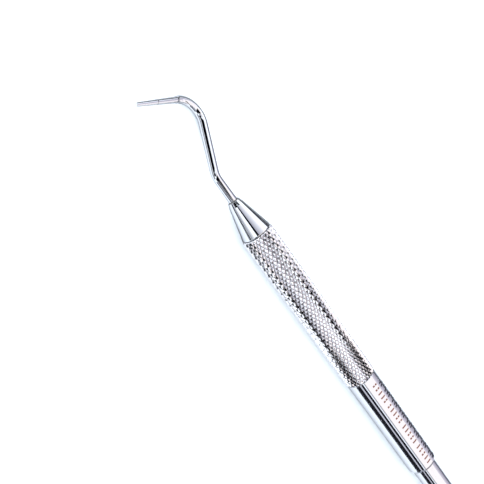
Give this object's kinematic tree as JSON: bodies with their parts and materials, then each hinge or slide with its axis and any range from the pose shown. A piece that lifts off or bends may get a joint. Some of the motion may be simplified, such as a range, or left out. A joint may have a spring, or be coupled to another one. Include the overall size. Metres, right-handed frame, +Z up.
{
  "type": "root canal plugger",
  "caption": "Blunt graduated root-canal plugger on a contra-angled shank, with a knurled round cone-socket handle.",
  "frame": {"origin": "on the surface that the instrument lies on, under the middle of its bounding box", "axes": "+X along the handle towards the working end, +Y the side that the nib points to, +Z up"},
  "size_m": [0.1498, 0.0122, 0.0066],
  "materials": {
    "polished_steel": "mirror polished stainless steel",
    "knurled_steel": "bright diamond knurl",
    "machined_steel": "turned and threaded",
    "braze": "silver braze",
    "seal_rubber": "matt"
  },
  "bodies": {
    "handle": {"grip_sleeve": "knurled_steel", "marking_sleeve": "polished_steel", "core_tube": "polished_steel", "tail_plug": "polished_steel", "socket_bushing": "machined_steel"},
    "seal": {"seal_ring": "seal_rubber"},
    "working_end": {"nose_cone": "polished_steel", "threaded_stud": "machined_steel", "plugger_shank": "polished_steel", "braze_collar": "braze"}
  },
  "joints": [
    {"name": "tip_travel", "type": "slide", "parent": "handle", "child": "seal", "axis": [1, 0, 0], "range_m": [0, 0.0036]},
    {"name": "tip_unscrew", "type": "hinge", "parent": "seal", "child": "working_end", "pos_m": [0.042, 0.00067, 0.0033], "axis": [1, 0, 0], "range_deg": [0, 2880.01]}
  ],
  "couplings": [
    {"joint": "tip_unscrew", "follows": "tip_travel", "rad_per_m": 13963}
  ]
}
